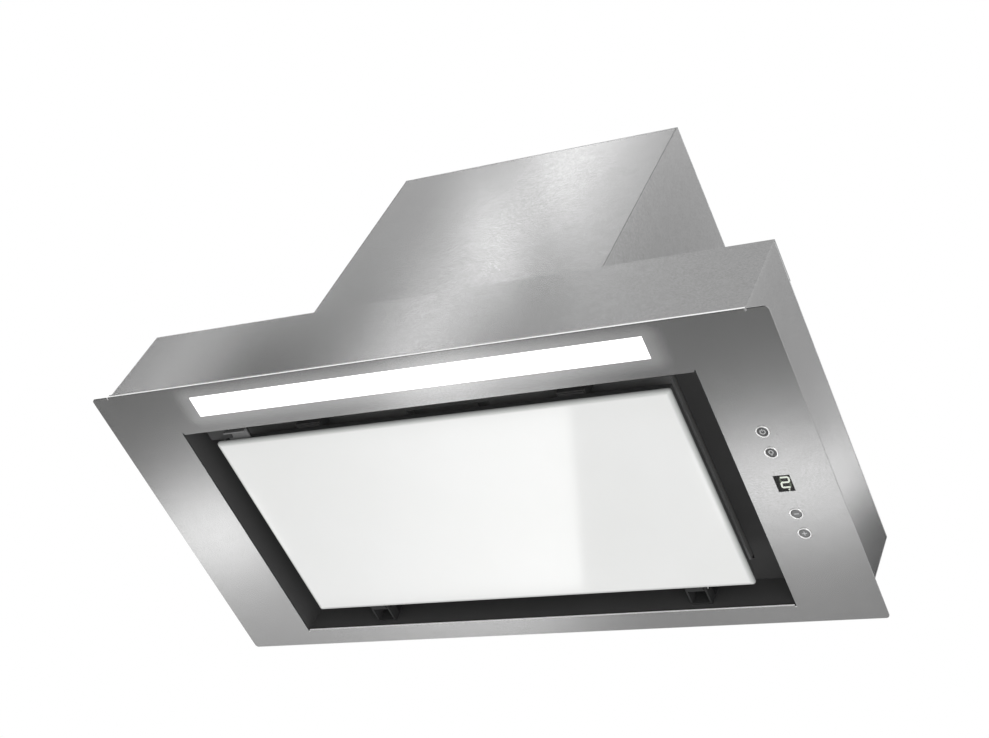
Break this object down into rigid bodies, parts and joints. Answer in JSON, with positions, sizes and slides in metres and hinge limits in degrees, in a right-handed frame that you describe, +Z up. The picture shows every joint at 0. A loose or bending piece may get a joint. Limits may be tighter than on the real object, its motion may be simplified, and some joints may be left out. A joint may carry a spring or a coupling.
{
  "type": "built-in range hood",
  "caption": "Built-in range hood: stainless face plate with a hinged white glass perimeter panel, light strip, push-buttons, grease filter and ducted blower.",
  "frame": {"origin": "centre of the underside of the face plate", "axes": "+X to the right as seen from the front, +Y to the back, +Z up along the duct"},
  "size_m": [0.6, 0.29, 0.3466],
  "materials": {
    "plate_steel": "brushed along the width",
    "box_steel": "brushed along the width",
    "zinc_sheet": "galvanised, fine spangle",
    "plated_fasteners": "bright zinc",
    "black_coat": "matt black powder coat",
    "lamp_aluminium": "mill finish",
    "filter_mesh": "expanded mesh layers",
    "white_board": "solder mask",
    "opal": "opal, lit",
    "white_plastic": "moulded",
    "black_plastic": "moulded, fine texture",
    "board_green": "solder mask",
    "smoked_lens": "smoked, polished",
    "bezel_chrome": "polished plating",
    "button_grey": "satin",
    "white_glass": "white toughened glass, polished",
    "tab_steel": "satin",
    "wheel_metal": "pressed",
    "shaft_steel": "ground",
    "motor_can": "cast",
    "copper": "enamelled winding",
    "bronze": "sintered",
    "flap_plastic": "moulded"
  },
  "bodies": {
    "hood": {"base_plate": "plate_steel", "body_front": "box_steel", "body_side_left": "box_steel", "body_side_right": "box_steel", "body_back": "zinc_sheet", "body_deck": "zinc_sheet", "body_rivets": "plated_fasteners", "housing_front": "box_steel", "housing_side_left": "box_steel", "housing_side_right": "box_steel", "housing_back": "zinc_sheet", "housing_top": "zinc_sheet", "housing_rivets": "plated_fasteners", "housing_screws": "plated_fasteners", "suction_frame": "black_coat", "led_channel": "lamp_aluminium", "led_board": "white_board", "led_diffuser": "opal", "led_driver": "white_plastic", "control_housing": "black_plastic", "control_board": "board_green", "control_switches": "black_plastic", "display_module": "black_plastic", "display_lens": "smoked_lens", "button_bezels": "bezel_chrome", "hinge_brackets": "black_coat", "hinge_pins": "plated_fasteners", "catch_magnets": "black_plastic", "filter_frame": "lamp_aluminium", "filter_mesh": "filter_mesh", "filter_handle": "black_plastic", "scroll_wrapper": "zinc_sheet", "scroll_side_left": "zinc_sheet", "scroll_side_right": "zinc_sheet", "inlet_rings": "black_plastic", "motor_shell": "motor_can", "motor_stator": "copper", "motor_bearings": "bronze", "motor_bracket": "zinc_sheet", "outlet_spigot": "black_plastic", "outlet_screws": "plated_fasteners", "flap_pins": "plated_fasteners", "terminal_box": "black_plastic", "terminal_lid": "black_plastic", "capacitor": "white_plastic", "cable_gland": "black_plastic"},
    "panel": {"glass_panel": "white_glass", "panel_tray": "black_coat", "pull_tab": "tab_steel", "hinge_knuckles": "black_coat"},
    "rotor": {"blower_wheel": "wheel_metal", "motor_shaft": "shaft_steel", "motor_rotor": "shaft_steel"},
    "front_flap": {"flap_front": "flap_plastic"},
    "rear_flap": {"flap_rear": "flap_plastic"},
    "power_button": {"button_power": "button_grey"},
    "light_button": {"button_light": "button_grey"},
    "minus_button": {"button_minus": "button_grey"},
    "plus_button": {"button_plus": "button_grey"},
    "latch": {"filter_latch": "button_grey"}
  },
  "joints": [
    {"name": "panel_hinge", "type": "hinge", "parent": "hood", "child": "panel", "pos_m": [0, 0.113, 0.012], "axis": [1, 0, 0], "range_deg": [0, 90]},
    {"name": "blower_spin", "type": "hinge", "parent": "hood", "child": "rotor", "pos_m": [0, -0.03139, 0.17041], "axis": [1, 0, 0], "continuous": true},
    {"name": "front_flap_hinge", "type": "hinge", "parent": "hood", "child": "front_flap", "pos_m": [0, 0.03061, 0.318], "axis": [-1, 0, 0], "range_deg": [0, 75]},
    {"name": "rear_flap_hinge", "type": "hinge", "parent": "hood", "child": "rear_flap", "pos_m": [0, 0.04262, 0.318], "axis": [1, 0, 0], "range_deg": [0, 75]},
    {"name": "power_press", "type": "slide", "parent": "hood", "child": "power_button", "axis": [0, 0, 1], "range_m": [0, 0.0008], "stiffness_N_per_m": 1500},
    {"name": "light_press", "type": "slide", "parent": "hood", "child": "light_button", "axis": [0, 0, 1], "range_m": [0, 0.0008], "stiffness_N_per_m": 1500},
    {"name": "minus_press", "type": "slide", "parent": "hood", "child": "minus_button", "axis": [0, 0, 1], "range_m": [0, 0.0008], "stiffness_N_per_m": 1500},
    {"name": "plus_press", "type": "slide", "parent": "hood", "child": "plus_button", "axis": [0, 0, 1], "range_m": [0, 0.0008], "stiffness_N_per_m": 1500},
    {"name": "latch_slide", "type": "slide", "parent": "hood", "child": "latch", "axis": [0, 1, 0], "range_m": [0, 0.0075], "stiffness_N_per_m": 400}
  ]
}
